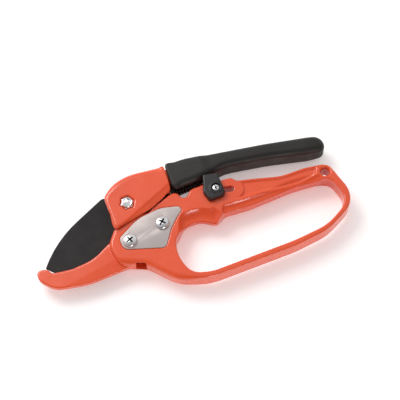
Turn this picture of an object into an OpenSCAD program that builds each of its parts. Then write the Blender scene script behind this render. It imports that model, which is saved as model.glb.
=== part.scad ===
// Ratchet pruning shears with a knuckle guard, lying on their side.
// X runs from the hook to the guard's rear end, Y across the handles, Z up through the thickness.
// Everything is drawn around the blade pivot at X 0, Y 0 in the closed, locked position;
// place() then moves it so that the origin is at the bottom centre of the whole tool.

/* [Overall] */
// Blade pivot to the hook's tip
jaw_reach = 63; // [55:1:76]
// Blade pivot to the rear end of the knuckle guard
handle_reach = 148; // [124:1:178]
// Blade pivot down to the lowest point of the knuckle guard
guard_drop = 36.5; // [33:0.5:44]
// Blade pivot up to the back of the grip
grip_rise = 48; // [46.5:0.5:56]

/* [Frame casting] */
// Half of the thickness of the lower frame
frame_half = 7; // [6.6:0.1:9]
// Thickness of the knuckle guard's strap
strap = 3.6; // [3:0.1:5]
// Thickness of the frame's back wall
back_wall = 2.4; // [1.8:0.1:3]
// Height of the hook's front face above the middle plane
hook_front = 3; // [2:0.1:4.5]
// Width of the lock's slot
slot_w = 4; // [3:0.1:5]
// Travel of the lock along its slot
lock_travel = 10; // [6:0.5:11]
// Diameter of the hanging hole
hang_d = 5.6; // [4:0.2:6.6]
// Clearance between the link layer and the frame's front wall
link_gap = 0.2; // [0.1:0.05:0.4]

/* [Blade] */
// Thickness of the blade
blade_t = 2.6; // [2:0.1:3.2]
// Radius of the blade's tang around its pivot
tang_r = 8.4; // [8:0.1:9]
// Radius of the blade's heel around the handle bolt
heel_r = 7.5; // [6:0.1:8.5]

/* [Ratchet] */
// Thickness of the ratchet link
link_t = 2.6; // [2:0.1:3]
// Number of teeth on the ratchet link
teeth = 4; // [2:1:5]
// Distance between two teeth
tooth_pitch = 2; // [1.5:0.1:2.4]
// Depth of a tooth
tooth_depth = 1; // [0.6:0.1:1.4]
// Diameter of the cross pin that the teeth rest against
tooth_pin_d = 4; // [3:0.1:4.4]
// Mean diameter of the return spring's coil
spring_d = 4.4; // [3.6:0.1:4.8]
// Diameter of the return spring's wire
spring_wire = 0.8; // [0.6:0.05:1]
// Number of coils
spring_turns = 9; // [6:1:12]

/* [Upper handle] */
// Thickness of each wall of the handle's head
head_wall = 2.4; // [2:0.1:3]
// Thickness of the wall along the head's back
head_web = 2.8; // [2:0.1:4]
// Half of the thickness of the grip
grip_half = 10; // [9:0.1:12]
// Half of the thickness of the tang inside the grip
tang_half = 6.4; // [5:0.1:7.2]

/* [Fasteners] */
// Diameter of the two pivot screws' threads
screw_d = 5; // [4:0.1:6]
// Diameter of the pan heads
pan_d = 9; // [8:0.1:9.4]
// Height of the pan heads
pan_h = 2.8; // [2:0.1:3.2]
// Width across the flats of the hex nuts
nut_af = 8; // [7:0.1:8.4]
// Height of the hex nuts
nut_h = 3.6; // [2.7:0.1:4]
// Wall of the bearing bushes
bush_wall = 1.4; // [1:0.1:1.8]
// Thickness of the side plate
plate_t = 1; // [0.8:0.1:1.5]
// Running clearance of a hole on its bush, each side
run_gap = 0.05; // [0.02:0.01:0.1]

/* [Lock] */
// Height of the lock's slider above the frame
lock_h = 5; // [4:0.1:6]
// Diameter of the lock's screw
lock_screw_d = 3; // [2:0.1:3.4]

/* [Hidden] */

$fn = 64;
fit = 0.15;          // ordinary clearance between two fixed pieces
face_gap = 0.4;      // clearance between sliding faces of the frame and the head
through = [-20, 30]; // heights of a cut through everything
recess_w = 0.9;      // arms of the cross recess in the pivot screws
recess_l = 4.8;
recess_depth = 1.4;
lap = 0.6;           // depth of the lapped washers and heads let into a wall
bolt_head_r = 4.7;   // low round head at the back of the handle bolt
nut_recess = 1.6;    // depth of the recess for the handle nut
nut_turn = 8;
lock_head_r = 2.6;
lock_recess = 1.4;   // depth of the recess round the lock's screw

// Pivots in the closed position
blade_pivot = [0, 0];
link_pivot = [23, 7];
handle_pivot = [4, 25.5];
tooth_pin_at = [11, 39];
lock_at = [62.5, 21.3];
lock_tilt = -8;      // direction of the lock's slot
hang_at = [handle_reach - 12.4, 17];
open_angle = 25;     // how far the blade opens
link_eye_r = 6;      // radius of the link around its pivot
hook_hole_r = 1;     // hole in the link for the spring's hook

// Layers of the mechanism, as heights above the middle plane
back_inner = back_wall - frame_half;
blade_z = [back_inner + 0.2, back_inner + 0.2 + blade_t];
link_z = [blade_z[1] + 0.3, blade_z[1] + 0.3 + link_t];
pocket_top = link_z[1] + link_gap;
spring_z = (link_z[0] + link_z[1]) / 2;
hook_back = blade_z[1] + 0.2;
plate_depth = 0.6;
plate_z = [frame_half - plate_depth, frame_half - plate_depth + plate_t];
head_in_front = plate_z[1] + face_gap;
head_in_back = -frame_half - face_gap;
head_front = head_in_front + head_wall;
head_back = head_in_back - head_wall - 0.4;
nut_z = [head_back + 0.1, head_back + 0.1 + nut_h];
rest_z = min(head_back, -grip_half);
lock_top = frame_half + lock_h;

bush_r = screw_d / 2 + bush_wall;
screw_hole_r = screw_d / 2 + fit;
handle_at_open = [cos(open_angle) * handle_pivot[0] + sin(open_angle) * handle_pivot[1],
                  cos(open_angle) * handle_pivot[1] - sin(open_angle) * handle_pivot[0]];

// ---- Outline helpers ----
function unit(v) = v / norm(v);
function cross2(a, b) = a[0] * b[1] - a[1] * b[0];

// Points of the arc of radius r that rounds corner p between its neighbours a and b
function corner_arc(a, p, b, r, n) =
    let (u = unit(a - p), w = unit(b - p), half = acos(u * w) / 2,
         centre = p + unit(u + w) * r / sin(half),
         from = p + u * r / tan(half) - centre, to = p + w * r / tan(half) - centre,
         start = atan2(from[1], from[0]), sweep = atan2(cross2(from, to), from * to))
    [for (i = [0:n]) centre + r * [cos(start + sweep * i / n), sin(start + sweep * i / n)]];

// Outline through corners given as [x, y, radius]; radius 0 keeps the corner sharp
function rounded(c, n = 6) = [for (i = [0:len(c) - 1])
    let (a = c[(i + len(c) - 1) % len(c)], p = c[i], b = c[(i + 1) % len(c)])
    each (p[2] > 0 ? corner_arc([a[0], a[1]], [p[0], p[1]], [b[0], b[1]], p[2], n) : [[p[0], p[1]]])];

module slab(z) { translate([0, 0, z[0]]) linear_extrude(z[1] - z[0]) children(); }
module outline(corners) { polygon(rounded(corners)); }
module rod(r, z, at = [0, 0]) { translate([at[0], at[1], z[0]]) cylinder(r = r, h = z[1] - z[0]); }
module ring(r_out, r_in, z, at) { difference() { rod(r_out, z, at); rod(r_in, [z[0] - 1, z[1] + 1], at); } }
module hex(af, z, at, turn = 0) {
    translate([at[0], at[1], z[0]]) rotate(turn) cylinder(r = af / sqrt(3), h = z[1] - z[0], $fn = 6);
}
// Moves the tool from its pivot frame to the frame with the origin at the bottom centre
module place() {
    translate([(jaw_reach - handle_reach) / 2, (guard_drop - grip_rise) / 2, -rest_z]) children();
}

// ---- Outlines, in the pivot frame ----
function jaw_x(f) = -f * jaw_reach;
function rear_x(f) = f * handle_reach;

frame_corners = [
    [-8, 11, 4], [-14, 1, 8], [-10.5, -13.6, 9], [7, -17.8, 14], [24.5, 3 - guard_drop, 24],
    [46, -guard_drop - 0.2, 30], [rear_x(0.70), 7.8 - guard_drop, 100], [rear_x(0.86), 13.7 - guard_drop, 40],
    [handle_reach + 3, -6, 15], [handle_reach - 4.5, 11.5, 20], [handle_reach - 9, 22.6, 7],
    [rear_x(0.83), 23, 30], [rear_x(0.72), 20.9, 40], [rear_x(0.6), 23.6, 40], [76.5, 25, 1], [75.5, 28, 3],
    [67, 27.5, 3], [58, 27.5, 3], [46, 26, 3], [43, 21, 2], [39, 21.5, 1.5], [38, 26.5, 3],
    [33, 26, 6], [20, 20, 20], [5, 16.5, 20]];
loop_corners = [
    [28, -18, 20], [33.5, strap + 2.2 - guard_drop, 11], [47, strap + 0.3 - guard_drop, 22],
    [rear_x(0.70), strap + 8.1 - guard_drop, 100], [rear_x(0.86), strap + 13.5 - guard_drop, 36],
    [handle_reach - 2.6, -6, 12], [handle_reach - 10.5, 12.8, 7],
    [rear_x(0.76), 11.5, 60], [rear_x(0.55), 6, 60],
    [63, 5, 7], [58, -0.8, 3], [48, 4.4, 12], [37.5, 3, 12], [28.5, -6, 8]];
hook_corners = [
    [3 - jaw_reach, -4, 1.5], [-jaw_reach, -4.5, 2], [-jaw_reach, -11, 8],
    [jaw_x(0.85), -19.2, 14], [jaw_x(0.50), -20.5, 40], [-10, -16.8, 20], [-2, -15.5, 0],
    [-9, 4, 0], [-14, 3, 8], [jaw_x(0.40), -5, 30], [jaw_x(0.64), -8.3, 20],
    [9.5 - jaw_reach, -8.1, 1.5], [7.6 - jaw_reach, -4.8, 0.8]];
leaf_corners = [
    [6 - jaw_reach, -2.4, 0.5], [jaw_x(0.70), -12.5, 20], [jaw_x(0.40), -10, 26], [-8, -9.5, 6],
    [2, -8.8, 2], [8, 2, 4], [6, 18, 4], [-4, 29, 6], [-9.3, 38.2, 3], [jaw_x(0.74), 15, 78]];
heel_corners = [[-4, 29, 3], [-3, 10, 3], [8, 0, 3], [11.5, 24, 3]];
head_corners = [
    [-10.5, 32.4, 3], [-8.5, 20, 12], [-9, 8.8, 2.2], [7, 14.2, 40], [20.5, 17.8, 8], [28, 22.6, 8],
    [34, 28.5, 4], [33, 45.8, 1.5], [9.5, 45.6, 36], [-5, 40.9, 25]];
plate_corners = [
    [-6.4, 3.2, 3.5], [-5.3, -4.7, 5], [21.5, -9.9, 3.5], [27.4, 1.5, 10], [33, 8.8, 14],
    [40, 15.5, 2.4], [24, 17.6, 20], [8, 13.6, 25]];
grip_corners = [
    [33.7, grip_rise - 1.4, 1], [35.4, 28.2, 2], [56, 31.5, 20], [73, 36, 30],
    [rear_x(0.68), 35, 150], [rear_x(0.87), 32, 12], [handle_reach - 8, 32, 4],
    [handle_reach - 5.5, grip_rise - 4.6, 7], [rear_x(0.87), grip_rise - 3.6, 30],
    [rear_x(0.68), grip_rise - 1.6, 150], [56, grip_rise, 8], [47, grip_rise + 0.2, 20]];
tang_corners = [
    [30, 43.5, 1], [30, 36.5, 1], [70, 39, 20], [rear_x(0.68), 38, 100], [rear_x(0.86), 36.6, 1.8],
    [rear_x(0.86), grip_rise - 6.8, 1.8], [rear_x(0.68), grip_rise - 5, 100], [47, grip_rise - 2.8, 20]];
link_corners = [
    [16.8, 12, 3], [18, 2, 5], [28.6, 7, 5], [30.5, 20, 6], [36.8, 25.8, 2.6], [38, 31.6, 2.6],
    [29.5, 32.2, 3], [19, 29.5, 4], [14.3, 31.2, 2], [11, 31.7, 0], [8.1, 39.4, 0], [5.6, 39.9, 1],
    [3.9, 38.4, 1.5], [6.2, 31.6, 3], [8.6, 28.6, 3], [14.4, 26.2, 3], [19.6, 22.5, 4]];
lock_corners = [
    [55.8, 33, 1.5], [53.6, 20.5, 3], [56.3, 13.8, 2.5], [66, 15.2, 2], [68.3, 17.7, 2.5], [66.5, 31.8, 1.5]];

spring_hook = [34.4, 29.3];       // where the spring hooks into the link
spring_end = [57.5, 30.4];        // centre of the post on the frame
lug_z = [spring_z - 4.6, spring_z - 2.9];    // the frame's lug under the post
post_r = 1.1;
window_x = [0.8, 6.6];            // window in the housing's lower wall
window_top = 5.4;
lug_corners = [[53.5, 24, 0], [61.5, 24, 0], [59.9, 32.8, 2], [55.1, 32.8, 2]];

// ---- Frame side ----
// The hollow between the frame's walls, where the blade's tang, its heel and the link move
module mechanism_pocket() {
    union() {
        circle(tang_r + 1);
        translate(link_pivot) circle(8.6);
        polygon([
            [-tang_r - 1, 0], [-tang_r - 1, 40], [48, 40], [38, 21],
            [31.6, 7], [23, -1.6], [0, -tang_r - 1]]);
    }
}

module lower_frame() color("#e8552e") difference() {
    union() {
        slab([-frame_half, frame_half]) difference() {
            outline(frame_corners);
            outline(loop_corners);
        }
        slab([hook_back, hook_front]) outline(hook_corners);
        slab(lug_z) outline(lug_corners);
    }
    slab([back_inner, pocket_top]) mechanism_pocket();
    // gap that the blade's leaf swings in, behind the hook
    slab([back_inner, hook_back]) polygon([[-40, -40], [-40, 40], [0, 40], [0, -9], [-9, -15]]);
    // relief for the handle bolt's bush at full opening
    rod(bush_r + 1.1, through, handle_at_open);
    for (at = [blade_pivot, link_pivot]) {
        rod(screw_hole_r, through, at);
        hex(nut_af + 2 * fit, [through[0], nut_z[1]], at);
    }
    slab([plate_z[0], through[1]]) offset(delta = fit) outline(plate_corners);
    lock_slot();
    rod(hang_d / 2, through, hang_at);
    rod(post_r + 0.02, through, spring_end);
    // window through the lower wall into the pocket
    slab([back_inner, window_top]) translate([window_x[0], -30]) square([window_x[1] - window_x[0], 22]);
}

module lock_slot() {
    translate([lock_at[0], lock_at[1], 0]) rotate(lock_tilt) {
        rod(slot_w / 2, through);
        rod(slot_w / 2, through, [lock_travel, 0]);
        slab(through) translate([0, -slot_w / 2]) square([lock_travel, slot_w]);
    }
}

module side_plate() color("#c9c0bd") difference() {
    slab(plate_z) outline(plate_corners);
    for (at = [blade_pivot, link_pivot]) rod(screw_hole_r, through, at);
}

// Two crossed slots for a screwdriver
module cross_recess(at, z, length, width, turn) {
    for (arm = [0, 90]) slab(z) translate(at) rotate(turn + arm) square([length, width], center = true);
}

// Pan-head screw from the plate down into its nut, with a cross recess
module pivot_screw(at) color("#cfcfd2") difference() {
    union() {
        rod(screw_d / 2, [head_back + 0.3, plate_z[1] + 0.01], at);
        translate([at[0], at[1], plate_z[1]]) intersection() {
            cylinder(r = pan_d / 2, h = pan_h);
            translate([0, 0, pan_h - pan_d]) sphere(r = pan_d);
        }
    }
    cross_recess(at, [plate_z[1] + pan_h - recess_depth, through[1]], recess_l, recess_w, 20);
}
module blade_screw() { pivot_screw(blade_pivot); }
module link_screw() { pivot_screw(link_pivot); }

module pivot_nut(at) color("#b9b9bc") difference() {
    hex(nut_af, nut_z, at);
    rod(screw_d / 2, through, at);
}
module blade_nut() { pivot_nut(blade_pivot); }
module link_nut() { pivot_nut(link_pivot); }

module pivot_bush(at) color("#9a8f6a") {
    ring(bush_r, screw_d / 2, [back_inner, pocket_top], at);
}
module blade_bush() { pivot_bush(blade_pivot); }
module link_bush() { pivot_bush(link_pivot); }

// Spacers that fill the pocket's height beside the blade's tang and the link's eye
module blade_spacer() color("#8a8a8a") {
    ring(tang_r - 1.6, bush_r + run_gap, [blade_z[1] + 0.05, pocket_top], blade_pivot);
}
module link_spacer() color("#8a8a8a") {
    ring(link_eye_r + 0.6, bush_r + run_gap, [back_inner, link_z[0] - 0.05], link_pivot);
}
// Thin dished washers under the blade and on the link, drawn flat
module spring_washers() color("#8f7a4a") {
    ring(link_eye_r, bush_r + run_gap, [back_inner, blade_z[0] - 0.02], blade_pivot);
    ring(link_eye_r, bush_r + run_gap, [link_z[1] + 0.02, pocket_top], link_pivot);
}

// ---- Blade ----
module blade() color("#2b2928") difference() {
    slab(blade_z) union() {
        outline(leaf_corners);
        outline(heel_corners);
        circle(tang_r);
        translate(handle_pivot) circle(heel_r);
    }
    rod(bush_r + run_gap, through, blade_pivot);
    rod(bush_r + run_gap, through, handle_pivot);
}

// ---- Ratchet ----
link_axis = unit(tooth_pin_at - link_pivot);
link_side = [link_axis[1], -link_axis[0]];
tooth_line = -(tooth_pin_d / 2 + 0.6);   // tips of the teeth, beside the line from pivot to pin
function on_link(along, side) = link_pivot + along * link_axis + side * link_side;
first_tooth = norm(tooth_pin_at - link_pivot) - 1.2;

module ratchet_link() color("#262626") difference() {
    slab(link_z) union() {
        outline(link_corners);
        translate(link_pivot) circle(link_eye_r);
    }
    rod(bush_r + run_gap, through, link_pivot);
    rod(hook_hole_r, through, spring_hook);
    slab(through) for (i = [0:teeth - 1]) polygon([
        on_link(first_tooth - i * tooth_pitch, tooth_line + 0.6),
        on_link(first_tooth - i * tooth_pitch, tooth_line - tooth_depth),
        on_link(first_tooth + tooth_pitch * 0.8 - i * tooth_pitch, tooth_line + 0.6)]);
}

module tooth_pin() color("#8f8f92") {
    rod(tooth_pin_d / 2, [head_back + 0.8, head_front - 1.2], tooth_pin_at);
}

// Tube of radius r swept along points; each ring faces along the path there
function path_dir(p, i) = unit(p[min(i + 1, len(p) - 1)] - p[max(i - 1, 0)]);
function ring_at(c, d, r, side, sides) =
    let (u = unit(cross(d, [0.3, 0.2, 1])), w = cross(d, u), a = 360 * side / sides)
    c + r * (cos(a) * u + sin(a) * w);
module tube(p, r, sides = 8) {
    n = len(p);
    polyhedron(
        points = [for (i = [0:n - 1], j = [0:sides - 1]) ring_at(p[i], path_dir(p, i), r, j, sides)],
        faces = concat(
            [for (i = [0:n - 2], j = [0:sides - 1]) let (k = (j + 1) % sides, a = i * sides, b = a + sides)
                each [[a + j, b + j, b + k], [a + j, b + k, a + k]]],
            [for (j = [1:sides - 2]) [0, j, j + 1]],
            [for (j = [1:sides - 2], e = (n - 1) * sides) [e, e + j + 1, e + j]]));
}

// Extension coil between the link and the post, with a straight leg at each end
spring_leg = 2.6;
spring_len = norm(spring_end - spring_hook);
spring_span = spring_len - 2 * spring_leg;
eye_r = post_r + spring_wire / 2 + 0.08;
function coil_point(t) = [spring_leg + spring_span * t, spring_d / 2 * sin(360 * spring_turns * t),
                          -spring_d / 2 * cos(360 * spring_turns * t)];
function eye_point(t) = [spring_len - eye_r * cos(320 * t), -eye_r * sin(320 * t), t - 1.4];
module return_spring() color("#1d1d1f") {
    heading = atan2(spring_end[1] - spring_hook[1], spring_end[0] - spring_hook[0]);
    steps = spring_turns * 12;
    translate([spring_hook[0], spring_hook[1], spring_z]) rotate(heading) tube(concat(
        [[0, 0, -0.4], [0.6, 0, -1.7]], [for (i = [0:steps]) coil_point(i / steps)],
        [for (i = [0:10]) eye_point(i / 10)]), spring_wire / 2);
}

module spring_post() color("#8f8f92") union() {
    rod(post_r, [lug_z[0], spring_z + 1.8], spring_end);
    rod(post_r + 0.5, [spring_z + 1.6, spring_z + 2.2], spring_end);
}

// ---- Upper handle ----
// Channel for the return spring under the tang and in the sleeve
spring_channel = [[25, 20], [25, 36], [62, 39.5], [62, 20]];

module upper_handle() color("#e8552e") difference() {
    union() {
        slab([head_back, head_front]) outline(head_corners);
        slab([-tang_half, tang_half]) outline(tang_corners);
    }
    // hollow between the two walls, open below, closed by a web along the back
    slab([head_in_back, head_in_front]) intersection() {
        offset(delta = -30 - head_web) offset(delta = 30) outline(head_corners);
        translate([-30, -10]) square([62, 80]);
    }
    slab([head_in_back, head_in_front]) polygon([[-30, 0], [-30, 37], [31, 37], [31, 20], [60, 20], [60, 0]]);
    slab([spring_z - 3.8, spring_z + 4.2]) polygon(spring_channel);
    // slot through the back for the blade and the link's nose
    slab([back_inner, pocket_top + 0.1]) polygon([[-30, 20], [-30, 60], [17, 60], [17, 20]]);
    rod(screw_hole_r, through, handle_pivot);
    hex(nut_af + 2 * fit, [head_front - nut_recess, through[1]], handle_pivot, nut_turn);
    rod(bolt_head_r + 2 * fit, [through[0], head_back + lap], handle_pivot);
    rod(tooth_pin_d / 2, [head_back + 0.8, head_front - 1.2], tooth_pin_at);
}

module grip_sleeve() color("#232323") difference() {
    union() {
        slab([-grip_half, grip_half]) offset(delta = -3.2) outline(grip_corners);
        slab([2 - grip_half, grip_half - 2]) offset(delta = -1.2) outline(grip_corners);
        slab([4 - grip_half, grip_half - 4]) outline(grip_corners);
    }
    slab([-tang_half - 0.05, tang_half + 0.05]) offset(delta = 0.05) outline(tang_corners);
    slab([spring_z - 5, spring_z + 5.4]) polygon(spring_channel);
}

module handle_bolt() color("#cfcfd2") union() {
    rod(screw_d / 2, [head_back + lap, head_front - 0.2], handle_pivot);
    rod(bolt_head_r, [head_back + 0.02, head_back + lap], handle_pivot);
}
module handle_nut() color("#cfcfd2") difference() {
    union() {
        hex(nut_af, [head_front - nut_recess, head_front - 0.4], handle_pivot, nut_turn);
        rod(nut_af / 2 - 0.4, [head_front - 0.5, head_front + 0.6], handle_pivot);
    }
    rod(screw_d / 2, through, handle_pivot);
}
module handle_bush() color("#9a8f6a") {
    ring(bush_r, screw_d / 2, [head_in_back, head_in_front], handle_pivot);
}
module handle_spacers() color("#8a8a8a") {
    ring(bush_r + 0.8, bush_r + run_gap, [head_in_back, blade_z[0] - 0.05], handle_pivot);
    ring(bush_r + 0.8, bush_r + run_gap, [pocket_top, head_in_front], handle_pivot);
}

// ---- Lock ----
module lock_slider() color("#1f1f21") difference() {
    slab([frame_half + 0.05, lock_top]) outline(lock_corners);
    // relief where the finger laps over the grip's side
    slab([0, grip_half + 0.3]) polygon([[45, 26.2], [80, 23.5], [80, 50], [45, 50]]);
    rod(lock_screw_d / 2 + 0.1, through, lock_at);
    rod(lock_head_r + 2 * fit, [lock_top - lock_recess, through[1]], lock_at);
}
module lock_screw() color("#cfcfd2") difference() {
    union() {
        rod(lock_screw_d / 2, [-frame_half - 0.4, lock_top - lock_recess + 0.1], lock_at);
        rod(lock_head_r, [lock_top - lock_recess, lock_top - 0.2], lock_at);
    }
    cross_recess(lock_at, [lock_top - 1, through[1]], 3, 0.6, 10);
}
module lock_guide() color("#8f8f92") {
    ring(slot_w / 2 - 0.1, lock_screw_d / 2, [-frame_half + 0.2, frame_half], lock_at);
}
module lock_washer() color("#8f8f92") {
    ring(4, lock_screw_d / 2, [-frame_half - 1.2, -frame_half - 0.1], lock_at);
}

place() lower_frame();
place() blade();
place() upper_handle();
place() grip_sleeve();
place() side_plate();
place() blade_screw();
place() link_screw();
place() blade_nut();
place() link_nut();
place() blade_bush();
place() link_bush();
place() blade_spacer();
place() link_spacer();
place() spring_washers();
place() handle_bolt();
place() handle_nut();
place() handle_bush();
place() handle_spacers();
place() ratchet_link();
place() tooth_pin();
place() return_spring();
place() spring_post();
place() lock_slider();
place() lock_screw();
place() lock_guide();
place() lock_washer();
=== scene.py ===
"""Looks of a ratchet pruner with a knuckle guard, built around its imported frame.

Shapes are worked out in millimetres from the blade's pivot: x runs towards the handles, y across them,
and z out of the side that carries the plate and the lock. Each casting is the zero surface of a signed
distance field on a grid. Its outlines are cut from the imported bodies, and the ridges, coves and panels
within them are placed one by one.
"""
import math
import bpy
import bmesh
import numpy as np
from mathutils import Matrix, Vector


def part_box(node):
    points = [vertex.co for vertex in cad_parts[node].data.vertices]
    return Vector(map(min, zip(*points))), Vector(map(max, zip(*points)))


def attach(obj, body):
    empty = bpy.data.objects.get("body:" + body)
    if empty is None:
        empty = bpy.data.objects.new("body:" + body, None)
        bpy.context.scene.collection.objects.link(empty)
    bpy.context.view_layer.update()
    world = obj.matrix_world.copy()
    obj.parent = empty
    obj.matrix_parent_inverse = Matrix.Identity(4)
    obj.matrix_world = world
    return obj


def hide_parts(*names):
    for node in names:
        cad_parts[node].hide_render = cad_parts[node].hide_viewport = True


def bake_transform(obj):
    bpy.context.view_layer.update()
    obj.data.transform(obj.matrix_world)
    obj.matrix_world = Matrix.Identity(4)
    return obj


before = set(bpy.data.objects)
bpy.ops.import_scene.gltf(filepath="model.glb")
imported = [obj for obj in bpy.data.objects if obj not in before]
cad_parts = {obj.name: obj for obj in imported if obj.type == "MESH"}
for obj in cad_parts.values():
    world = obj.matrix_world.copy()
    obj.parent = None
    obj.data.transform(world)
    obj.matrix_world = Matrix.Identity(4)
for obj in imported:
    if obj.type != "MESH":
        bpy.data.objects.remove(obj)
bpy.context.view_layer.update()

MM = 0.001


def middle(node):
    """Centre of a node's box, in metres."""
    low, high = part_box(node)
    return (low + high) / 2


PIVOT = Vector((middle("blade_screw").x, middle("blade_screw").y, middle("lower_frame").z))
ORIGIN = np.array(PIVOT)


def local(point):
    """A place in metres as millimetres from the blade's pivot."""
    return (np.array(point) - ORIGIN) / MM


def span(node):
    """Lowest and highest corner of a node, in millimetres from the blade's pivot."""
    low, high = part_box(node)
    return local(low), local(high)


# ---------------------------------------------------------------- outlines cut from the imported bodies

def cut_lines(node, height):
    """Line pieces where the node's surface crosses a height: on each triangle that crosses it, the two
    edge points found by linear interpolation. Shape (n, 2, 2)."""
    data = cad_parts[node].data
    data.calc_loop_triangles()
    points = np.empty(len(data.vertices) * 3)
    data.vertices.foreach_get("co", points)
    points = local(points.reshape(-1, 3))
    index = np.empty(len(data.loop_triangles) * 3, int)
    data.loop_triangles.foreach_get("vertices", index)
    start = points[index.reshape(-1, 3)]
    end = np.roll(start, -1, axis=1)
    rise_start = start[:, :, 2] - height
    rise_end = end[:, :, 2] - height
    crosses = (rise_start < 0) != (rise_end < 0)
    share = rise_start / np.where(crosses, rise_start - rise_end, 1)
    where = start + share[:, :, None] * (end - start)
    return where[crosses].reshape(-1, 2, 3)[:, :, :2]


def outlines(node, height):
    """The closed outlines at a height, longest first, each as its own line pieces. Pieces that share an
    end belong together: each takes the lowest label among its ends until nothing changes."""
    lines = cut_lines(node, height)
    ends = np.unique(np.round(lines.reshape(-1, 2), 3), axis=0, return_inverse=True)[1].reshape(-1, 2)
    label = np.arange(ends.max() + 1)
    while True:
        lowest = label[ends].min(axis=1)
        new = label.copy()
        np.minimum.at(new, ends[:, 0], lowest)
        np.minimum.at(new, ends[:, 1], lowest)
        if (new == label).all():
            break
        label = new
    group = label[ends[:, 0]]
    parts = [lines[group == g] for g in np.unique(group)]
    return sorted(parts, key=lambda part: -np.linalg.norm(part[:, 1] - part[:, 0], axis=1).sum())


def plan_distance(x, y, lines):
    """Distance in the plane to the nearest line piece, negative where a ray towards +x crosses an odd
    number of them."""
    nearest = np.full(np.broadcast(x, y).shape, 1e9)
    inside = np.zeros(nearest.shape, bool)
    for (ax, ay), (bx, by) in lines:
        dx, dy = bx - ax, by - ay
        share = np.clip(((x - ax) * dx + (y - ay) * dy) / (dx * dx + dy * dy + 1e-12), 0, 1)
        nearest = np.minimum(nearest, (x - ax - share * dx) ** 2 + (y - ay - share * dy) ** 2)
        if ay != by:
            inside ^= ((ay > y) != (by > y)) & (x < ax + (y - ay) * dx / dy)
    return np.where(inside, -1, 1) * np.sqrt(nearest)


# ---------------------------------------------------------------- distance fields

def smooth_step(low, high, value):
    """0 below low, 1 above high, and 3t^2 - 2t^3 between them."""
    t = np.clip((value - low) / (high - low), 0, 1)
    return t * t * (3 - 2 * t)


def slab(z, low, high):
    """Distance to the layer between two heights."""
    return np.abs(z - (low + high) / 2) - (high - low) / 2


def rounded_both(a, b, radius):
    """Where both fields are inside, with the edge between them rounded: a quarter circle of the radius."""
    a, b = a + radius, b + radius
    return np.minimum(np.maximum(a, b), 0) + np.hypot(np.maximum(a, 0), np.maximum(b, 0)) - radius


def blended_either(a, b, reach):
    """Where either field is inside, with a fillet in the corner between them."""
    h = np.clip(0.5 + 0.5 * (b - a) / reach, 0, 1)
    return b * (1 - h) + a * h - reach * h * (1 - h)


def keep_in_layer(body, plan, z, low, high):
    """Inside a layer, only what the plan covers stays."""
    return np.maximum(body, np.minimum(plan, -slab(z, low, high)))


def rod(x, y, centre, radius):
    """Distance to an upright cylinder."""
    return np.hypot(x - centre[0], y - centre[1]) - radius


# ---------------------------------------------------------------- meshes

def finish_piece(name, data, body, slot, material, *nodes):
    """Makes the object, smooth, riding on its body and standing for its nodes."""
    data.polygons.foreach_set("use_smooth", np.ones(len(data.polygons), bool))
    piece = bpy.data.objects.new(name, data)
    bpy.context.collection.objects.link(piece)
    piece.data.materials.append(material)
    if body:
        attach(piece, body)
    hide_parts(*nodes)
    return piece


def mesh_from(name, points, faces):
    """Mesh from places in millimetres and four-cornered faces."""
    data = bpy.data.meshes.new(name)
    data.vertices.add(len(points))
    data.vertices.foreach_set("co", (points * MM + ORIGIN).ravel())
    data.loops.add(faces.size)
    data.loops.foreach_set("vertex_index", faces.ravel().astype(np.int32))
    data.polygons.add(len(faces))
    data.polygons.foreach_set("loop_start", np.arange(0, faces.size, 4, dtype=np.int32))
    data.update(calc_edges=True)
    data.validate()
    return data


def sample(grid, p):
    """Value of a grid at places between its points, by linear interpolation along the three axes."""
    cell = np.clip(np.floor(p).astype(int), 0, np.array(grid.shape) - 2)
    part = p - cell
    total = 0
    for corner in np.ndindex(2, 2, 2):
        weight = np.prod(np.where(corner, part, 1 - part), axis=1)
        total = total + weight * grid[tuple((cell + corner).T)]
    return total


def surface(grid):
    """Points and four-cornered faces of a grid's zero surface. A cell that the surface crosses holds one
    point, the mean of its edges' crossings, and each crossed edge joins the four cells around it. Two
    steps along the slope then bring the points onto the surface."""
    cells = np.array(grid.shape) - 1
    count = np.zeros(cells.prod())
    total = np.zeros((3, cells.prod()))
    faces = []
    for a in range(3):
        b, c = (a + 1) % 3, (a + 2) % 3
        first = np.take(grid, range(0, cells[a]), axis=a)
        second = np.take(grid, range(1, cells[a] + 1), axis=a)
        place = np.argwhere((first < 0) != (second < 0))
        start, stop = first[tuple(place.T)], second[tuple(place.T)]
        crossing = place.astype(float)
        crossing[:, a] += start / (start - stop)
        room = (place[:, b] > 0) & (place[:, c] > 0) & (place[:, b] < cells[b]) & (place[:, c] < cells[c])
        place, crossing, start = place[room], crossing[room], start[room]
        corners = []
        for back_b, back_c in ((0, 0), (1, 0), (1, 1), (0, 1)):
            cell = place.copy()
            cell[:, b] -= back_b
            cell[:, c] -= back_c
            flat = np.ravel_multi_index(tuple(cell.T), tuple(cells))
            corners.append(flat)
            count += np.bincount(flat, minlength=len(count))
            for k in range(3):
                total[k] += np.bincount(flat, crossing[:, k], minlength=len(count))
        quad = np.stack(corners, axis=1)
        faces.append(np.where((start < 0)[:, None], quad, quad[:, ::-1]))
    used = count > 0
    number = np.cumsum(used) - 1
    points = (total[:, used] / count[used]).T
    slope = np.gradient(grid)
    for _ in range(2):
        value = sample(grid, points)
        way = np.stack([sample(s, points) for s in slope], axis=1)
        move = value[:, None] * way / np.maximum((way ** 2).sum(axis=1), 0.05 * slope_scale(slope))[:, None]
        points = points - np.clip(move, -0.5, 0.5)
    return points, number[np.concatenate(faces)]


def slope_scale(slope):
    """Largest squared slope of a grid, as a floor for divisions."""
    return max(float(np.abs(s).max()) for s in slope) ** 2


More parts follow.
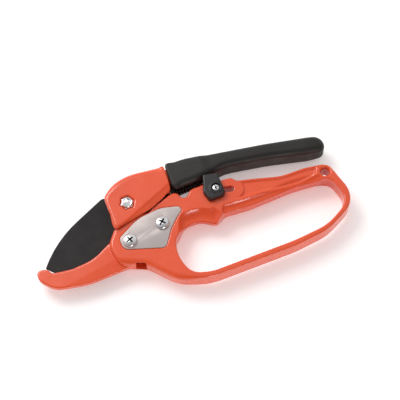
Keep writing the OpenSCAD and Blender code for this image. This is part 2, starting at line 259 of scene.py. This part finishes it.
def solid(name, field, low, high, step, body, slot, material, *nodes):
    """Piece whose surface is where field(x, y, z) is zero, between two corners, on a grid of a step."""
    counts = np.ceil((np.array(high) - low) / step).astype(int) + 5
    x, y, z = (low[k] - 2 * step + step * np.arange(counts[k]) for k in range(3))
    grid = field(x[:, None, None], y[None, :, None], z[None, None, :])
    points, faces = surface(np.broadcast_to(grid, counts).astype(float))
    points = points * step + np.array([x[0], y[0], z[0]])
    return finish_piece(name, mesh_from(name, points, faces), body, slot, material, *nodes)


def tube(name, path, radius, sides, body, slot, material, *nodes):
    """Round wire along a path: at each point a circle of the radius, square to the path, and a fan at
    each end. The two parameters are the place along the path and the angle around it."""
    along = np.gradient(path, axis=0)
    along /= np.linalg.norm(along, axis=1)[:, None]
    side = np.cross(along, [0.31, 0.17, 0.93])
    side /= np.linalg.norm(side, axis=1)[:, None]
    up = np.cross(along, side)
    turn = np.linspace(0, 2 * math.pi, sides, endpoint=False)[None, :, None]
    rings = path[:, None] + radius * (np.cos(turn) * side[:, None] + np.sin(turn) * up[:, None])
    first_end = np.repeat(path[:1, None], sides, 1)
    last_end = np.repeat(path[-1:, None], sides, 1)
    rings = np.concatenate([first_end, rings, last_end])
    n = len(rings)
    i, j = np.meshgrid(np.arange(n - 1), np.arange(sides), indexing="ij")
    k = (j + 1) % sides
    this_ring = i * sides
    next_ring = this_ring + sides
    faces = np.stack([this_ring + j, this_ring + k, next_ring + k, next_ring + j], -1)
    data = mesh_from(name, rings.reshape(-1, 3), faces.reshape(-1, 4))
    weld(data, 0.001)
    return finish_piece(name, data, body, slot, material, *nodes)


def weld(data, gap, flat=0):
    """Merges points closer than a gap in millimetres, and joins faces that lie flat within an angle."""
    shape = bmesh.new()
    shape.from_mesh(data)
    bmesh.ops.remove_doubles(shape, verts=shape.verts, dist=gap * MM)
    if flat:
        bmesh.ops.dissolve_limit(shape, angle_limit=flat, verts=shape.verts, edges=shape.edges)
    bmesh.ops.recalc_face_normals(shape, faces=shape.faces)
    shape.to_mesh(data)
    shape.free()


def softened(name, node, width, body, slot, material):
    """Copy of a flat pressed or turned part with its sharp edges broken by a small round bevel."""
    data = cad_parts[node].data.copy()
    data.materials.clear()
    weld(data, 0.002, math.radians(1))
    piece = finish_piece(name, data, body, slot, material, node)
    edge = piece.modifiers.new("edge_break", "BEVEL")
    edge.width = width * MM
    edge.segments = 2
    edge.limit_method = "ANGLE"
    edge.angle_limit = math.radians(35)
    edge.harden_normals = True
    edge.use_clamp_overlap = True
    return piece


# ---------------------------------------------------------------- finishes

def finish(name, dark, light, rough, grain, bump,
           metal=0.0, coat=0.0, worn=None, streak=(1, 1, 1), gloss=0.5):
    """A finish on object coordinates. Colour runs between dark and light over broad noise, roughness
    between its two values over middle noise, and fine noise gives the bump: grain is its wavelength in
    millimetres and bump its depth. Worn is a colour that shows through on sharp outer edges. Streak
    stretches the fine noise, as brushing does."""
    material = bpy.data.materials.new(name)
    material.use_nodes = True
    tree = material.node_tree
    shader = tree.nodes["Principled BSDF"]
    shader.inputs["Metallic"].default_value = metal
    shader.inputs["Coat Weight"].default_value = coat
    shader.inputs["Coat Roughness"].default_value = 0.08
    shader.inputs["Specular IOR Level"].default_value = gloss
    place = tree.nodes.new("ShaderNodeTexCoord").outputs["Object"]

    def noise(scale, detail, stretch=(1, 1, 1)):
        turn = tree.nodes.new("ShaderNodeMapping")
        turn.inputs["Scale"].default_value = stretch
        cloud = tree.nodes.new("ShaderNodeTexNoise")
        cloud.inputs["Scale"].default_value = scale
        cloud.inputs["Detail"].default_value = detail
        tree.links.new(place, turn.inputs["Vector"])
        tree.links.new(turn.outputs["Vector"], cloud.inputs["Vector"])
        return cloud.outputs["Fac"]

    def between(factor, low, high):
        ramp = tree.nodes.new("ShaderNodeValToRGB")
        ramp.color_ramp.elements[0].position = 0.3
        ramp.color_ramp.elements[1].position = 0.7
        ramp.color_ramp.elements[0].color = (*low, 1)
        ramp.color_ramp.elements[1].color = (*high, 1)
        tree.links.new(factor, ramp.inputs["Fac"])
        return ramp.outputs["Color"]

    colour = between(noise(45, 4), dark, light)
    if worn:
        edge = tree.nodes.new("ShaderNodeMapRange")
        edge.inputs["From Min"].default_value = 0.53
        edge.inputs["From Max"].default_value = 0.60
        sharp = tree.nodes.new("ShaderNodeNewGeometry").outputs["Pointiness"]
        patchy = tree.nodes.new("ShaderNodeMath")
        patchy.operation = "MULTIPLY"
        mix = tree.nodes.new("ShaderNodeMix")
        mix.data_type = "RGBA"
        mix.inputs["B"].default_value = (*worn, 1)
        tree.links.new(sharp, edge.inputs["Value"])
        tree.links.new(edge.outputs["Result"], patchy.inputs[0])
        tree.links.new(noise(400, 3), patchy.inputs[1])
        tree.links.new(patchy.outputs[0], mix.inputs["Factor"])
        tree.links.new(colour, mix.inputs["A"])
        colour = mix.outputs["Result"]
    tree.links.new(colour, shader.inputs["Base Color"])
    spread = tree.nodes.new("ShaderNodeMapRange")
    spread.inputs["From Min"].default_value = 0.3
    spread.inputs["From Max"].default_value = 0.7
    spread.inputs["To Min"].default_value = rough[0]
    spread.inputs["To Max"].default_value = rough[1]
    tree.links.new(noise(160, 5), spread.inputs["Value"])
    tree.links.new(spread.outputs["Result"], shader.inputs["Roughness"])
    relief = tree.nodes.new("ShaderNodeBump")
    relief.inputs["Strength"].default_value = 1.0
    relief.inputs["Distance"].default_value = bump * MM
    tree.links.new(noise(1 / (grain * MM), 3, streak), relief.inputs["Height"])
    tree.links.new(relief.outputs["Normal"], shader.inputs["Normal"])
    return material


ENAMEL = finish("orange_enamel", (0.80, 0.080, 0.018), (0.86, 0.096, 0.025), (0.20, 0.30), 1.6, 0.010,
                coat=0.4)
COATING = finish("blade_coating", (0.012, 0.010, 0.010), (0.020, 0.017, 0.017), (0.50, 0.62), 0.35, 0.02,
                 worn=(0.16, 0.16, 0.16), gloss=0.25)
RUBBER = finish("grip_rubber", (0.011, 0.009, 0.008), (0.020, 0.017, 0.015), (0.44, 0.58), 0.5, 0.035,
                gloss=0.4)
PLATE = finish("brushed_plate", (0.50, 0.44, 0.42), (0.60, 0.53, 0.51), (0.52, 0.62), 0.25, 0.008,
               metal=0.55, streak=(0.06, 1, 1))
CHROME = finish("bright_plating", (0.74, 0.74, 0.75), (0.84, 0.84, 0.85), (0.10, 0.20), 0.8, 0.004,
                metal=1.0)
ZINC = finish("zinc_plating", (0.50, 0.50, 0.50), (0.66, 0.66, 0.65), (0.28, 0.42), 0.4, 0.008, metal=1.0)
BRONZE = finish("bearing_bronze", (0.42, 0.27, 0.11), (0.55, 0.37, 0.17), (0.30, 0.45), 0.3, 0.010,
                metal=1.0)
# Black oxide for the ratchet link; the same dark finish is also painted into the screws' cross recesses as
# shade.
OXIDE_BLACK_AND_RECESS_SHADE = finish("black_oxide_and_painted_recess_shade", (0.016, 0.015, 0.015), (0.032, 0.030, 0.030), (0.34, 0.48), 0.3, 0.015,
                     metal=0.3, worn=(0.22, 0.21, 0.20))
SPRING_STEEL = finish("spring_wire", (0.020, 0.020, 0.021), (0.045, 0.044, 0.044), (0.25, 0.38), 0.2, 0.008,
                      metal=0.6)
PLASTIC = finish("lock_plastic", (0.010, 0.010, 0.011), (0.018, 0.018, 0.019), (0.30, 0.42), 0.25, 0.015)


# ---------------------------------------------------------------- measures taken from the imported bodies

def axis(*nodes):
    """Place in the plane of an upright round node, and its lowest and highest height over all of them."""
    boxes = [span(node) for node in nodes]
    centre = (boxes[0][0] + boxes[0][1])[:2] / 2
    return centre, min(b[0][2] for b in boxes), max(b[1][2] for b in boxes)


BLADE_AXIS, POCKET_LOW, POCKET_HIGH = axis("blade_bush")
LINK_AXIS = axis("link_bush")[0]
HANDLE_AXIS, HEAD_IN_LOW, HEAD_IN_HIGH = axis("handle_bush")
LOCK_AXIS = axis("lock_screw")[0]
FRAME_LOW, FRAME_HIGH = span("lower_frame")
HALF = FRAME_HIGH[2]
PLATE_LOW = span("side_plate")[0]
BLADE_LOW, BLADE_HIGH = span("blade")
HOOK_BACK = BLADE_HIGH[2] + 0.2
HOOK_FRONT = 3.0        # the design's front face of the hook jaw
WINDOW_TOP = 5.4        # the design's top of the window in the housing's lower wall
NUT_LOW, NUT_HIGH = span("blade_nut")
NUT_FLATS = NUT_HIGH[1] - NUT_LOW[1]
HEAD_LOW, HEAD_HIGH = span("upper_handle")
GRIP_LOW, GRIP_HIGH = span("grip_sleeve")
HANG = np.array([FRAME_HIGH[0] - 11.8, 17.0])
HANG_R = 2.8
SCREW_BORE_R = 2.52     # hole in a nut, a little over the screw's radius
NUT_TURN = math.radians(8)
TANG_HALF = 6.4         # half the height of the handle's tang


def eased(plan, rounds):
    """The plan with its small facets worn away: each pass gives a point half its own value and a quarter
    of each neighbour's."""
    for axis_number in (0, 1) * rounds:
        before, after = np.roll(plan, 1, axis_number), np.roll(plan, -1, axis_number)
        plan = plan / 2 + (before + after) / 4
    return plan


def whole_plan(node, height, x, y, rounds=0):
    """Distance in the plane to everything solid in the node at a height."""
    return eased(plan_distance(x, y, np.concatenate(outlines(node, height))), rounds)


def hexagon(x, y, centre, flats, turn=0.0):
    """Distance to a hexagon: the largest of three strips' distances, sixty degrees apart."""
    strips = []
    for k in range(3):
        angle = turn + math.pi / 2 + k * math.pi / 3
        strips.append(np.abs((x - centre[0]) * math.cos(angle) + (y - centre[1]) * math.sin(angle)))
    return np.maximum(np.maximum(strips[0], strips[1]), strips[2]) - flats / 2


def cross_slot(x, y, z, centre, top, depth, reach, turn):
    """A cross recess whose arms narrow and shorten with depth."""
    u = (x - centre[0]) * math.cos(turn) + (y - centre[1]) * math.sin(turn)
    v = (y - centre[1]) * math.cos(turn) - (x - centre[0]) * math.sin(turn)
    sunk = top - z
    long_side = reach - 0.55 * sunk
    short_side = 0.19 * reach - 0.08 * sunk
    first = np.maximum(np.abs(u) - long_side, np.abs(v) - short_side)
    second = np.maximum(np.abs(v) - long_side, np.abs(u) - short_side)
    hub = np.hypot(u, v) - (0.36 * reach - 0.2 * sunk)
    return np.maximum(np.minimum(np.minimum(first, second), hub), sunk - depth)


# ---------------------------------------------------------------- the lower frame

CREST = (
    (60, 11.2), (64.5, 11.0), (76, 11.2), (91, 12.0),
    (104, 12.5), (117, 13.4), (126, 15.2), (134, 17.0))
BOSS = (74.0, 19.3)
BOSS_R = 6.2
PANEL_DEPTH = 1.2
CREST_RISE = 0.5


def cove(x, y, inset):
    """Depth of the scooped band beside the finger loop. Over the band's width it is deep * (1 - t * t),
    with t running from 0 at a narrow flat lip to 1 at the crest: wide and deep in the first finger's
    hollow, narrower along the bar, and nothing on the strap."""
    hollow = smooth_step(31, 37, x) * (1 - smooth_step(57, 63, x)) * smooth_step(-14, -3, y)
    bar = smooth_step(62, 65, x) * (1 - smooth_step(127, 135, x)) * smooth_step(-4, 2, y)
    width = 1.0 + 6.2 * hollow + 3.4 * bar
    deep = 4.6 * hollow + 2.6 * bar
    t = np.clip((inset - 0.7) / width, 0, 1)
    return deep * (1 - t * t)


def lower_frame_field(x, y, z):
    """Casting: the guard's ring as outer plan less the finger loop, closed off by its two faces with
    rounded edges, joined to the hook's thinner layer with a fillet, and hollowed layer by layer."""
    body_lines = outlines("lower_frame", HALF - 1.1)
    outer = eased(plan_distance(x, y, body_lines[0]), 8)
    loop = -eased(plan_distance(x, y, body_lines[1]), 8)
    slot = -plan_distance(x, y, body_lines[2])
    crest = np.interp(x, *np.array(CREST).T)
    on_bar = smooth_step(62, 68, x) * smooth_step(2, 5, y)
    panel = smooth_step(0.6, 2.2, y - crest) * smooth_step(1.0, 2.4, -outer) * smooth_step(72, 76, x)
    panel = panel * smooth_step(BOSS_R, BOSS_R + 1.4, np.hypot(x - BOSS[0], y - BOSS[1]))
    panel = panel * smooth_step(2 * HANG_R, 2 * HANG_R + 1.8, np.hypot(x - HANG[0], y - HANG[1]))
    panel = panel * (1 - smooth_step(129, 134, x))
    ridge = on_bar * (1 - smooth_step(128, 134, x)) * np.exp(-((y - crest) / 0.9) ** 2)
    face = np.abs(z) - HALF + PANEL_DEPTH * panel - CREST_RISE * ridge
    under = (1 - smooth_step(26, 42, x)) * (1 - smooth_step(-13, -6, y)) * smooth_step(-12, -4, x)
    edge = 1.2 + 2.6 * under + 0.8 * (1 - smooth_step(-8, 4, x))
    face = face + cove(x, y, -loop)
    body = np.maximum(rounded_both(outer, face, edge), rounded_both(loop, face, 0.9))
    body = np.maximum(body, slot)
    hook_plan = eased(plan_distance(x, y, outlines("lower_frame", HOOK_FRONT - 0.1)[0]), 2)
    crease = (x + 10.6) * 0.30 - (y + 8.0) * 0.954
    hook_face = slab(z, HOOK_BACK, HOOK_FRONT) + 0.13 * np.clip(crease, 0, 9) * (z > 0.7)
    hook = rounded_both(np.maximum(hook_plan, x + 4), hook_face, 0.5)
    body = blended_either(body, hook, 1.6)
    levels = (POCKET_LOW, HOOK_BACK, POCKET_HIGH, HOOK_FRONT, WINDOW_TOP)
    for low, high in zip(levels[:-1], levels[1:]):
        plan = whole_plan("lower_frame", (low + high) / 2 + 0.1, x, y, 8)
        body = keep_in_layer(body, plan - 0.02, z, low, high)
    post, low, high = axis("spring_post")
    around_post = np.maximum(23 - y, np.abs(x - post[0]) - 5)
    lug = np.maximum(whole_plan("lower_frame", low + 0.8, x, y), around_post)
    body = np.minimum(body, rounded_both(lug, slab(z, low, low + 1.7), 0.4))
    plate = plan_distance(x, y, outlines("side_plate", HALF)[0]) - 0.3
    body = np.maximum(body, -rounded_both(plate, PLATE_LOW[2] - z, 0.2))
    for centre in (BLADE_AXIS, LINK_AXIS):
        body = np.maximum(body, -np.maximum(hexagon(x, y, centre, NUT_FLATS + 0.5), z - NUT_HIGH[2]))
        body = np.maximum(body, 2.65 - np.hypot(x - centre[0], y - centre[1]))
    hang_hole = HANG_R - np.hypot(x - HANG[0], y - HANG[1])
    return np.maximum(body, rounded_both(hang_hole, np.abs(z) - HALF - 0.1, 2.0))


solid("frame_casting", lower_frame_field, FRAME_LOW - 0.6, FRAME_HIGH + 0.8, 0.56, "frame",
      "frame_enamel", ENAMEL, "lower_frame")


# ---------------------------------------------------------------- the upper handle and its grip

RIDGE_FROM = np.array([-6.0, 9.5])
RIDGE_TO = np.array([33.0, 32.0])


def upper_handle_field(x, y, z):
    """Head: its plan between two faces that fall away below a ridge line and along the nose, with the
    tang behind it, and hollow where the blade, the link and the bush sit."""
    along = (RIDGE_TO - RIDGE_FROM) / np.linalg.norm(RIDGE_TO - RIDGE_FROM)
    below = (x - RIDGE_FROM[0]) * along[1] - (y - RIDGE_FROM[1]) * along[0]
    head = eased(plan_distance(x, y, outlines("upper_handle", HEAD_HIGH[2] - 1.7)[0]), 5)
    nose = (-7.6 - 0.12 * (y - 20) - x)
    ramp = 0.40 * smooth_step(0, 0.8, below) + 0.36 * np.clip(below, 0, 12)
    lip = 0.30 * smooth_step(0, 0.8, nose) + 0.70 * np.clip(nose, 0, 4)
    top = HEAD_HIGH[2] - ramp - lip
    middle_z = (HEAD_HIGH[2] + HEAD_LOW[2]) / 2
    face = np.abs(z - middle_z) - (top - middle_z)
    edge = 0.7 + 2.6 * smooth_step(24, 40, y) * smooth_step(-9, -2, x + 0.2 * y)
    body = rounded_both(head, face * 0.92, edge * (1 - smooth_step(29, 33, x)) + 0.5)
    tang = plan_distance(x, y, outlines("upper_handle", 5.5)[0])
    body = np.minimum(body, rounded_both(np.maximum(tang, 28 - x), np.abs(z) - TANG_HALF, 0.5))
    levels = (HEAD_IN_LOW, -TANG_HALF, POCKET_LOW, -4.0, POCKET_HIGH + 0.1, 4.0, TANG_HALF, HEAD_IN_HIGH)
    for low, high in zip(levels[:-1], levels[1:]):
        body = keep_in_layer(body, whole_plan("upper_handle", (low + high) / 2, x, y, 3), z, low, high)
    recess = hexagon(x, y, HANDLE_AXIS, NUT_FLATS + 0.9, NUT_TURN)
    body = np.maximum(body, -rounded_both(recess, HEAD_HIGH[2] - 1.6 - z, 0.2))
    body = np.maximum(body, -np.maximum(rod(x, y, HANDLE_AXIS, 5.0), z - HEAD_LOW[2] - 0.6))
    return np.maximum(body, 2.6 - np.hypot(x - HANDLE_AXIS[0], y - HANDLE_AXIS[1]))


def grip_field(x, y, z):
    """Grip: its plan with well rounded edges that sharpen at the collar, a slightly proud collar, and the
    pocket for the tang."""
    outer = eased(plan_distance(x, y, outlines("grip_sleeve", 7.5)[0]), 6) - 1.2
    collar = 1 - smooth_step(57, 64, x)
    height = GRIP_HIGH[2] - 0.8 * (1 - collar) - 1.2 * smooth_step(128, 142, x)
    edge = 0.8 + 3.2 * smooth_step(34.5, 42, x)
    body = rounded_both(outer + 0.25 * (1 - collar), np.abs(z) - height, edge)
    for low, high in ((-6.45, -5.2), (-5.2, 5.2), (5.2, 6.45)):
        body = keep_in_layer(body, whole_plan("grip_sleeve", (low + high) / 2, x, y, 8), z, low, high)
    return body


solid("handle_casting", upper_handle_field, HEAD_LOW - 0.4, HEAD_HIGH + 0.4, 0.55, "handle",
      "handle_enamel", ENAMEL, "upper_handle")
solid("soft_grip", grip_field, GRIP_LOW - 0.4, GRIP_HIGH + 0.4, 0.6, "handle",
      "grip_rubber", RUBBER, "grip_sleeve")


# ---------------------------------------------------------------- blade, plate and ratchet

def blade_field(x, y, z):
    """Blade: a flat leaf whose far face is ground away towards the cutting edge, to a thin lip."""
    plan = eased(whole_plan("blade", (BLADE_LOW[2] + BLADE_HIGH[2]) / 2, x, y), 2)
    body = rounded_both(plan, slab(z, BLADE_LOW[2], BLADE_HIGH[2]), 0.2)
    away = smooth_step(0, 5, y + 2.5) * 6 + smooth_step(-14, -8, x) * 6
    ground = (BLADE_HIGH[2] - z) - 0.35 + 0.34 * plan - away
    return np.maximum(body, ground / 1.06)


solid("blade_leaf", blade_field, BLADE_LOW - 0.3, BLADE_HIGH + 0.3, 0.34, "blade",
      "blade_coating", COATING, "blade")
softened("cover_plate", "side_plate", 0.22, "frame", "plate_steel", PLATE)
softened("ratchet_arm", "ratchet_link", 0.25, "link", "link_black", OXIDE_BLACK_AND_RECESS_SHADE)


# ---------------------------------------------------------------- fasteners

def around(centre, reach, low, high):
    """Lowest and highest corner of an upright box about a centre."""
    return np.array([*(centre - reach), low]), np.array([*(centre + reach), high])


def screw(name, node, body, turn, shank_r, head_r, head_h, slot):
    """Round-headed screw: a domed head, a cross recess and a shank with a chamfered end. The faces in
    the recess get the dark black oxide finish as painted shade, not the chrome they really have."""
    centre, low, high = axis(node)

    def recess(x, y, z):
        return cross_slot(x, y, z, centre, high, 0.7 * head_h, 0.60 * head_r, turn)

    def field(x, y, z):
        away = np.hypot(x - centre[0], y - centre[1])
        dome = np.hypot(away, z - (high - 2.1 * head_r)) - 2.1 * head_r
        head = rounded_both(rounded_both(away - head_r, dome, 0.7), high - head_h - z, 0.25)
        head = np.maximum(head, -recess(x, y, z))
        side = away - shank_r + 0.5 * np.clip(low + 0.8 - z, 0, 1)
        return np.minimum(head, np.maximum(side, slab(z, low, high - head_h + 0.5)))

    corners = around(centre, head_r + 0.3, low - 0.3, high + 0.3)
    piece = solid(name, field, *corners, 0.16, body, slot, CHROME, node)
    places = np.empty(len(piece.data.polygons) * 3)
    piece.data.polygons.foreach_get("center", places)
    x, y, z = local(places.reshape(-1, 3)).T
    # Faces inside the cross recess are marked for the dark finish: painted shade, since the real recess is
    # chromed like the head.
    painted_recess_shade = (recess(x, y, z) < 0.08) & (z < high - 0.3)
    piece.data.materials.append(OXIDE_BLACK_AND_RECESS_SHADE)
    piece.data.polygons.foreach_set("material_index", painted_recess_shade.astype(np.int32))


def nut(name, node, body):
    """Hexagon nut with its corners turned off at both ends, and a threaded hole."""
    centre, low, high = axis(node)

    def field(x, y, z):
        away = np.hypot(x - centre[0], y - centre[1])
        turned = (away - 0.56 * NUT_FLATS + 1.7 * np.clip(slab(z, low, high) + 0.6, 0, 2)) * 0.55
        block = np.maximum(np.maximum(hexagon(x, y, centre, NUT_FLATS), slab(z, low, high)), turned)
        return np.maximum(block, SCREW_BORE_R - away)

    corners = around(centre, 0.62 * NUT_FLATS, low - 0.2, high + 0.2)
    solid(name, field, *corners, 0.18, body, "zinc_steel", ZINC, node)


def locknut(name, node, body):
    """Hexagon base with a rounded collar that holds the nylon ring."""
    centre, low, high = axis(node)

    def field(x, y, z):
        away = np.hypot(x - centre[0], y - centre[1])
        flats = hexagon(x, y, centre, NUT_FLATS - 0.3, NUT_TURN)
        base = rounded_both(flats, slab(z, low, high - 1.5), 0.3)
        collar = rounded_both(away - 0.45 * NUT_FLATS, slab(z, low, high), 0.7)
        return np.maximum(np.minimum(base, collar), rounded_both(SCREW_BORE_R - away, z - high, 0.5))

    corners = around(centre, 0.62 * NUT_FLATS, low - 0.2, high + 0.2)
    solid(name, field, *corners, 0.16, body, "chrome", CHROME, node)


HEAD_R = (span("blade_screw")[1][0] - span("blade_screw")[0][0]) / 2
screw("front_pivot_screw", "blade_screw", "frame", math.radians(28), 2.5, HEAD_R, 2.8, "chrome")
screw("rear_pivot_screw", "link_screw", "frame", math.radians(50), 2.5, HEAD_R, 2.8, "chrome")
screw("latch_screw", "lock_screw", "lock", math.radians(10), 1.5, 2.6, 1.2, "chrome")
nut("front_pivot_nut", "blade_nut", "frame")
nut("rear_pivot_nut", "link_nut", "frame")
locknut("handle_locknut", "handle_nut", "handle")
softened("handle_pivot_bolt", "handle_bolt", 0.2, "handle", "chrome", CHROME)


# ---------------------------------------------------------------- return spring

LINK_HOOK = np.array([34.4, 29.3])
COIL_TURNS = 9
COIL_R = 2.2
WIRE_R = 0.4
LEG = 2.6
EYE_R = 1.58


def return_spring():
    """Extension spring from the link's hole to the frame's post: a leg, a helix (across and up as the
    sine and cosine of the turns, at even pitch) and an eye bent round the post."""
    hook = LINK_HOOK
    post = axis("spring_post")[0]
    middle_z = (span("ratchet_link")[0][2] + span("ratchet_link")[1][2]) / 2
    length = np.linalg.norm(post - hook)
    t = np.linspace(0, 1, COIL_TURNS * 24 + 1)
    wound = 2 * math.pi * COIL_TURNS * t
    coil = np.stack([LEG + (length - 2 * LEG) * t, COIL_R * np.sin(wound), -COIL_R * np.cos(wound)], axis=1)
    s = np.linspace(0, 1, 28)
    bend = math.radians(320) * s
    eye = np.stack([length - EYE_R * np.cos(bend), -EYE_R * np.sin(bend), s - 1.4], axis=1)
    start = np.array([
        [0, 0, 1.2], [0, 0, 0.4], [0.02, 0, -0.6], [0.15, 0, -1.4], [0.6, 0, -2.0], [1.4, 0, -2.25]])
    path = np.concatenate([start, coil, eye])
    for _ in range(2):
        path[1:-1] = path[1:-1] / 2 + (path[:-2] + path[2:]) / 4
    forward = (post - hook) / length
    placed = np.stack([hook[0] + path[:, 0] * forward[0] - path[:, 1] * forward[1],
                       hook[1] + path[:, 0] * forward[1] + path[:, 1] * forward[0],
                       middle_z + path[:, 2]], axis=1)
    spring = tube("return_coil", placed, WIRE_R, 12, None, "spring_black", SPRING_STEEL, "return_spring")
    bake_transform(spring)


return_spring()


# ---------------------------------------------------------------- lock

def lock_field(x, y, z):
    """Slider: its plan with drafted sides and rounded edges, a round well for the screw, and a relief
    where its finger laps over the grip."""
    low, high = span("lock_slider")
    plan = plan_distance(x, y, outlines("lock_slider", high[2] - 0.5)[0])
    drafted = plan + 0.16 * (z - low[2])
    body = rounded_both(drafted, np.maximum(low[2] - z, z - high[2] + 0.6), 0.7)
    rim = rounded_both(rod(x, y, LOCK_AXIS, 4.0), slab(z, low[2] + 1, high[2]), 0.45)
    body = blended_either(body, rim, 0.5)
    body = np.maximum(body, -rounded_both(rod(x, y, LOCK_AXIS, 3.0), high[2] - 1.4 - z, 0.2))
    body = np.maximum(body, 1.6 - np.hypot(x - LOCK_AXIS[0], y - LOCK_AXIS[1]))
    return np.maximum(body, -np.maximum(26.2 - 0.077 * (x - 45) - y, z - GRIP_HIGH[2] - 0.3))


low, high = span("lock_slider")
solid("lock_catch", lock_field, low - 0.3, high + 0.3, 0.26, "lock", "lock_plastic", PLASTIC, "lock_slider")


# ---------------------------------------------------------------- bodies kept as they are, with finishes

KEPT = {
    "blade_bush": BRONZE, "link_bush": BRONZE, "handle_bush": BRONZE,
    "blade_spacer": ZINC, "link_spacer": ZINC, "handle_spacers": ZINC, "spring_washers": BRONZE,
    "tooth_pin": ZINC, "spring_post": ZINC, "lock_guide": ZINC, "lock_washer": ZINC,
}
for node, material in KEPT.items():
    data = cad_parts[node].data
    data.materials.clear()
    data.materials.append(material)


# ---------------------------------------------------------------- floor, light and camera

def floor():
    """A plain pale sheet under the tool, much larger than the view."""
    reach = 2.0
    corners = [(-reach, -reach, 0), (reach, -reach, 0), (reach, reach, 0), (-reach, reach, 0)]
    data = bpy.data.meshes.new("floor")
    data.from_pydata(corners, [], [(0, 1, 2, 3)])
    sheet = bpy.data.objects.new("floor", data)
    bpy.context.collection.objects.link(sheet)
    material = bpy.data.materials.new("floor_paper")
    material.use_nodes = True
    shader = material.node_tree.nodes["Principled BSDF"]
    shader.inputs["Base Color"].default_value = (0.93, 0.93, 0.93, 1)
    shader.inputs["Roughness"].default_value = 0.9
    shader.inputs["Specular IOR Level"].default_value = 0.1
    shader.inputs["Emission Color"].default_value = (1, 1, 1, 1)
    shader.inputs["Emission Strength"].default_value = 0.3
    data.materials.append(material)


def softbox(name, place, target, size, power):
    """Square area light that faces its target."""
    light = bpy.data.lights.new(name, "AREA")
    light.shape = "SQUARE"
    light.size = size
    light.energy = power
    lamp = bpy.data.objects.new(name, light)
    lamp.location = place
    lamp.rotation_euler = (Vector(place) - Vector(target)).to_track_quat("Z", "Y").to_euler()
    bpy.context.collection.objects.link(lamp)


floor()
softbox("top_light", (-0.35, 0.55, 0.80), (0, 0, 0), 0.5, 5)
softbox("front_fill", (0.15, -1.1, 0.16), (0, 0, 0.01), 0.4, 4)

world = bpy.data.worlds.new("studio")
world.use_nodes = True
sky = world.node_tree.nodes["Background"]
sky.inputs["Color"].default_value = (1, 1, 1, 1)
side = world.node_tree.nodes.new("ShaderNodeSeparateXYZ")
fade = world.node_tree.nodes.new("ShaderNodeMapRange")
fade.inputs["From Min"].default_value = -0.7
fade.inputs["From Max"].default_value = 0.5
fade.inputs["To Min"].default_value = 0.22
fade.inputs["To Max"].default_value = 0.80
heading = world.node_tree.nodes.new("ShaderNodeTexCoord").outputs["Generated"]
world.node_tree.links.new(heading, side.inputs["Vector"])
world.node_tree.links.new(side.outputs["Y"], fade.inputs["Value"])
world.node_tree.links.new(fade.outputs["Result"], sky.inputs["Strength"])
bpy.context.scene.world = world
bpy.context.scene.view_settings.view_transform = "Standard"

AZIMUTH = math.radians(-14)
ELEVATION = math.radians(67)
DISTANCE = 1.0
back = Vector((math.sin(AZIMUTH) * math.cos(ELEVATION), -math.cos(AZIMUTH) * math.cos(ELEVATION),
               math.sin(ELEVATION)))
right = Vector((math.cos(AZIMUTH), math.sin(AZIMUTH), 0))
up = back.cross(right)
camera = bpy.data.objects.new("camera", bpy.data.cameras.new("camera"))
camera.data.lens = 139.5
camera.data.sensor_width = 36
camera.location = PIVOT + Vector((0, 0, HALF * MM)) + DISTANCE * back + 0.04515 * right + 0.02645 * up
camera.rotation_euler = (-back).to_track_quat("-Z", "Y").to_euler()
bpy.context.collection.objects.link(camera)
bpy.context.scene.camera = camera
